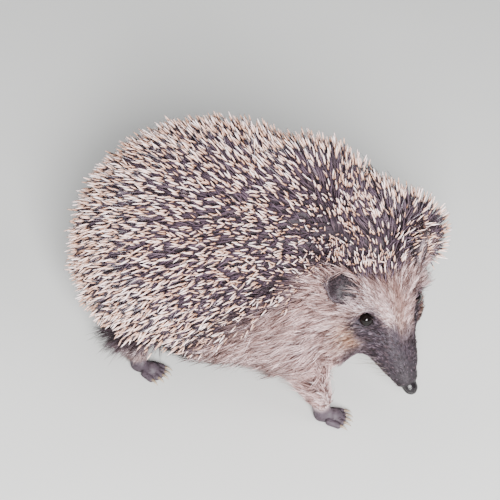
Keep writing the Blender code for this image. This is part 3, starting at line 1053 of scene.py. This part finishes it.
def make_fur():
    roots = Roots(skin, fur_density, "fur roots")
    roots.keep(np.argsort(roots.at[:, 0], kind="stable"))
    count = len(roots.at)
    rng = rng_for("fur")
    lock = locks(roots, rng)
    length = fur_length(roots.at) * rng.normal(1, 0.16, count).clip(0.55, 1.45)
    wave = np.sin(roots.at @ (0.9, 0.7, 0.5)) + np.sin(roots.at @ (-0.5, 0.8, 1.1) + 2)
    turn = rng.normal(0, 1, count)
    swing = WAVE_SWING * wave + LOCK_SWING * turn[lock] + HAIR_SWING * turn
    flow = turned(lie(roots.at, roots.normal), roots.normal, swing)
    raised = rng.normal(0, 1, count)
    lift = np.interp(length, *zip(*HAIR_LIFT)) + LOCK_RAISE * raised[lock] + HAIR_RAISE * raised
    lift = np.radians(lift)[:, None]
    rise = roots.normal * np.sin(lift) + flow * np.cos(lift)
    settle = roots.normal * np.sin(lift * HAIR_SETTLE) + flow * np.cos(lift * HAIR_SETTLE)
    reach = length[:, None]
    gather = roots.at[lock] - roots.at
    away = np.maximum(np.linalg.norm(gather, axis=1, keepdims=True), 1e-6)
    gather = gather * np.minimum(1, 0.5 * reach / away)
    start = roots.at - roots.normal * HAIR_ROOT
    middle = start + rise * reach * 0.5 + gather * 0.25
    tip = middle + settle * reach * 0.5 + gather * 0.35
    lines = np.stack((start, middle, tip), axis=1)
    width = np.interp(length, *zip(*HAIR_WIDTH)) * rng.normal(1, 0.15, count).clip(0.6, 1.5)
    radii = np.stack((width, width * 0.8), axis=1)
    shade = rng.random(count)
    tone = 0.55 * shade[lock] + 0.45 * shade
    dark = np.maximum(mask_weight(roots.at), in_ear(to_head(roots.at)))
    tint = mixed(markings(roots.at), GREY_HAIR, (rng.random(count) < GREY_SHARE) * dark)
    return coat_pieces("fur", lines, radii, 3, roots.uv, np.array(HAIR_MARKS), tone, tint)


def skin_places(points):
    """The bake places of the skin's corners nearest to the points."""
    mesh = skin.data
    at = mesh_points(mesh)[read(mesh.loops, "vertex_index", 1, np.int32)[:, 0]]
    nearest = [np.argmin(((at - point) ** 2).sum(axis=1)) for point in points]
    return read(mesh.uv_layers["OFBake"].data, "uv", 2)[nearest]


def few_spikes(name, lines, radii, sides, marks, colour, rng):
    """Spikes of one colour, set straight in the skin."""
    lines, count = np.array(lines), len(lines)
    looks = rng.random(count), np.tile(colour, (count, 1))
    places = skin_places(lines[:, 0])
    return spikes(name, lines, np.tile(radii, (count, 1)), sides, places, np.array(marks), *looks)


def make_whiskers():
    """Long stiff hairs on both sides of the muzzle."""
    rng = rng_for("whiskers")
    bend = np.array(WHISKER_BEND)
    lines = []
    for sign, row, step in itertools.product(SIDES.values(), range(3), range(4)):
        root = on_side((NOSE_FORWARD - 8 - 3 * step, 3.2 + 0.55 * step, NOSE_HEIGHT + 1.6 - 1.7 * row), sign)
        aim = unit(on_side((-0.25, 1, 0.15 - 0.28 * row), sign) + rng.normal(0, 0.12, 3))
        reach = 8 + 2.2 * step + rng.normal(0, 1)
        lines.append([from_head(root + aim * reach * t + bend * reach * t * t) for t in WHISKER_MARKS])
    return few_spikes("whiskers", lines, WHISKER_RADII, 5, WHISKER_MARKS, WHISKER, rng)


def make_claws():
    """Five curved claws on each foot, set in the toes."""
    steps = np.array(CLAW_MARKS)[:, None]
    arch = np.array((0, 0, CLAW_ARCH)) * 4 * steps * (1 - steps)
    lines = [toward(knuckle, tip, steps) + arch for foot in FEET for _, knuckle, tip in toes(foot)]
    return few_spikes("claws", lines, CLAW_RADII, 10, CLAW_MARKS, CLAW, rng_for("claws"))


def make_eye(side):
    """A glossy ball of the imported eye's size."""
    centre = box_centre(f"eye_{side}")
    bm = bmesh.new()
    bmesh.ops.create_icosphere(bm, subdivisions=5, radius=EYE_RADIUS - 0.02)
    points = np.array([v.co for v in bm.verts]) + centre
    faces = np.array([[v.index for v in face.verts] for face in bm.faces])
    bm.free()
    return new_object(f"eye_{side}_ball", points, faces)


quills = make_quills()
fur = make_fur()
whiskers = make_whiskers()
claws = make_claws()
eyes = [make_eye(side) for side in SIDES]

points = mesh_points(skin.data)
# The skin takes the markings darkened as painted shade from the coat over it
write_colour(skin.data, "tint", markings(points) * UNDER_COAT_SHADE)
write_number(skin.data, "wet", smoothstep(0.7, 0.2, nose_distance(points)))


# ---- materials


def new_material(name):
    made = bpy.data.materials.new(name)
    made.use_nodes = True
    return made, made.node_tree


def node(tree, kind, **settings):
    made = tree.nodes.new(kind)
    for key, value in settings.items():
        setattr(made, key, value)
    return made


def feed(tree, made, values):
    """Sets inputs of a node to numbers, or links them to outputs."""
    for key, value in values.items():
        if isinstance(value, (int, float)):
            made.inputs[key].default_value = value
        else:
            tree.links.new(value, made.inputs[key])


def attribute(tree, name, output="Fac"):
    return node(tree, "ShaderNodeAttribute", attribute_name=name).outputs[output]


def noise(tree, scale, detail, roughness=0.5):
    made = node(tree, "ShaderNodeTexNoise")
    place = node(tree, "ShaderNodeTexCoord").outputs["Object"]
    feed(tree, made, {"Vector": place, "Scale": scale, "Detail": detail, "Roughness": roughness})
    return made.outputs[0]


def ramp(tree, value, stops):
    made = node(tree, "ShaderNodeValToRGB")
    elements = made.color_ramp.elements
    while len(elements) < len(stops):
        elements.new(0.5)
    for element, (position, colour) in zip(elements, stops):
        element.position = position
        element.color = (*linear(colour), 1)
    tree.links.new(value, made.inputs["Fac"])
    return made.outputs[0]


def arithmetic(tree, operation, *values):
    made = node(tree, "ShaderNodeMath", operation=operation)
    feed(tree, made, dict(enumerate(values)))
    return made.outputs[0]


def blended(tree, kind, factor, first, second):
    made = node(tree, "ShaderNodeMix", data_type="RGBA", blend_type=kind)
    feed(tree, made, {0: factor, 6: first, 7: second})
    return made.outputs[2]


def finish(tree, colour, roughness, specular=0.5, grain=None):
    """Gives the surface its colour, gloss and grain, and returns it."""
    surface = tree.nodes["Principled BSDF"]
    feed(tree, surface, {"Base Color": colour, "Roughness": roughness, "Specular IOR Level": specular})
    if grain:
        strength, depth, *pattern = grain
        relief = node(tree, "ShaderNodeBump")
        feed(tree, relief, {"Strength": strength, "Distance": depth, "Height": noise(tree, *pattern)})
        tree.links.new(relief.outputs["Normal"], surface.inputs["Normal"])
    return surface


def skin_material():
    """The markings' colour, mottled, and wetter at the nose."""
    made, tree = new_material("skin")
    mottle = ramp(tree, noise(tree, 260, 4), SKIN_MOTTLE)
    mottled = blended(tree, "MULTIPLY", 0.55, attribute(tree, "tint", "Color"), mottle)
    roughness = arithmetic(tree, "MULTIPLY_ADD", attribute(tree, "wet"), -0.36, 0.62)
    finish(tree, mottled, roughness, 0.4, SKIN_GRAIN)
    return made


def quill_material():
    """Brownish grey at the root, dark below the tip and pale at it, each quill a little different."""
    made, tree = new_material("quill")
    tone = attribute(tree, "tone")
    shift = arithmetic(tree, "MULTIPLY_ADD", tone, 0.12, -0.06)
    place = arithmetic(tree, "ADD", attribute(tree, "along"), shift)
    tipward = arithmetic(tree, "MULTIPLY_ADD", place, TIP_RISE, -TIP_RISE * PALE_FROM)
    tips = ramp(tree, arithmetic(tree, "MULTIPLY_ADD", tone, 0.6, tipward), QUILL_TIPS)
    edge = ramp(tree, place, PALE_EDGE)
    coloured = blended(tree, "MIX", edge, ramp(tree, place, QUILL_SHAFT), tips)
    streaks = ramp(tree, noise(tree, 900, 2), QUILL_STREAKS)
    finish(tree, blended(tree, "MULTIPLY", 0.5, coloured, streaks), 0.32, 0.5, QUILL_GRAIN)
    return made


def fur_material():
    """The markings' colour, dark at the root and pale at the tip, with light and dark hairs mixed."""
    made, tree = new_material("fur")
    tones = ramp(tree, attribute(tree, "tone"), FUR_TONES)
    hairs = blended(tree, "MULTIPLY", 1.0, attribute(tree, "tint", "Color"), tones)
    lengths = ramp(tree, attribute(tree, "along"), FUR_LENGTH_TONES)
    finish(tree, blended(tree, "MULTIPLY", 1.0, hairs, lengths), 0.5, 0.35, FUR_GRAIN)
    return made


def whisker_material():
    made, tree = new_material("whisker")
    finish(tree, ramp(tree, attribute(tree, "along"), ((0, WHISKER), (1, WHISKER_TIP))), 0.4)
    return made


def claw_material():
    made, tree = new_material("claw")
    horn = ramp(tree, attribute(tree, "along"), ((0, CLAW_ROOT), (0.5, CLAW), (1, CLAW_TIP)))
    streaks = ramp(tree, noise(tree, 1200, 3), QUILL_STREAKS)
    finish(tree, blended(tree, "MULTIPLY", 0.6, horn, streaks), 0.35, 0.5, CLAW_GRAIN)
    return made


def eye_material():
    made, tree = new_material("eye")
    surface = finish(tree, ramp(tree, noise(tree, 500, 2), EYE_BROWNS), 0.06, 0.2)
    feed(tree, surface, {"Coat Weight": 0.1, "Coat Roughness": 0.02})
    return made


def dress(piece, made, slot, *replaced):
    piece.data.materials.clear()
    piece.data.materials.append(made)
    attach(piece, "root")
    if replaced:
        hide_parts(*replaced)


flesh = [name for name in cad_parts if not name.startswith("eye")]
dress(skin, skin_material(), "fur", *flesh)
quill_look, fur_look = quill_material(), fur_material()
for piece in quills:
    dress(piece, quill_look, "spiny_coat")
for piece in fur:
    dress(piece, fur_look, "fur")
dress(whiskers, whisker_material(), "fur")
dress(claws, claw_material(), "bare_skin")
for piece, side in zip(eyes, SIDES):
    dress(piece, eye_material(), "eye", f"eye_{side}")


# ---- floor, light and camera


def make_floor():
    corners = np.array(((-1, -1, 0), (1, -1, 0), (1, 1, 0), (-1, 1, 0))) * FLOOR_REACH
    floor = new_object("floor", corners, [[0, 1, 2, 3]])
    made, tree = new_material("floor")
    finish(tree, ramp(tree, noise(tree, 6, 2), ((0.3, FLOOR), (0.7, FLOOR_WORN))), 0.8)
    floor.data.materials.append(made)


def aimed(name, data, azimuth, elevation, distance):
    """A lamp or camera set round the target and turned to it."""
    a, e = math.radians(azimuth), math.radians(elevation)
    away = Vector((math.sin(a) * math.cos(e), -math.cos(a) * math.cos(e), math.sin(e)))
    thing = bpy.data.objects.new(name, data)
    thing.location = Vector(TARGET) + away * distance
    thing.rotation_euler = (-away).to_track_quat("-Z", "Y").to_euler()
    bpy.context.scene.collection.objects.link(thing)
    return thing


def add_lamps():
    for name, (*place, size, power, glossy) in LAMPS.items():
        lamp = bpy.data.lights.new(name, "AREA")
        lamp.size = size
        lamp.energy = power
        aimed(name, lamp, *place).visible_glossy = glossy


def add_camera():
    lens = bpy.data.cameras.new("camera")
    lens.lens = CAMERA_LENS
    lens.sensor_width = 36
    lens.clip_start = 0.01
    bpy.context.scene.camera = aimed("camera", lens, *CAMERA_FROM)


def add_world():
    world = bpy.data.worlds.new("studio")
    bpy.context.scene.world = world
    world.use_nodes = True
    sky = world.node_tree.nodes["Background"]
    sky.inputs["Color"].default_value = (*linear(WORLD_COLOUR), 1)
    sky.inputs["Strength"].default_value = WORLD_STRENGTH


make_floor()
add_lamps()
add_world()
add_camera()
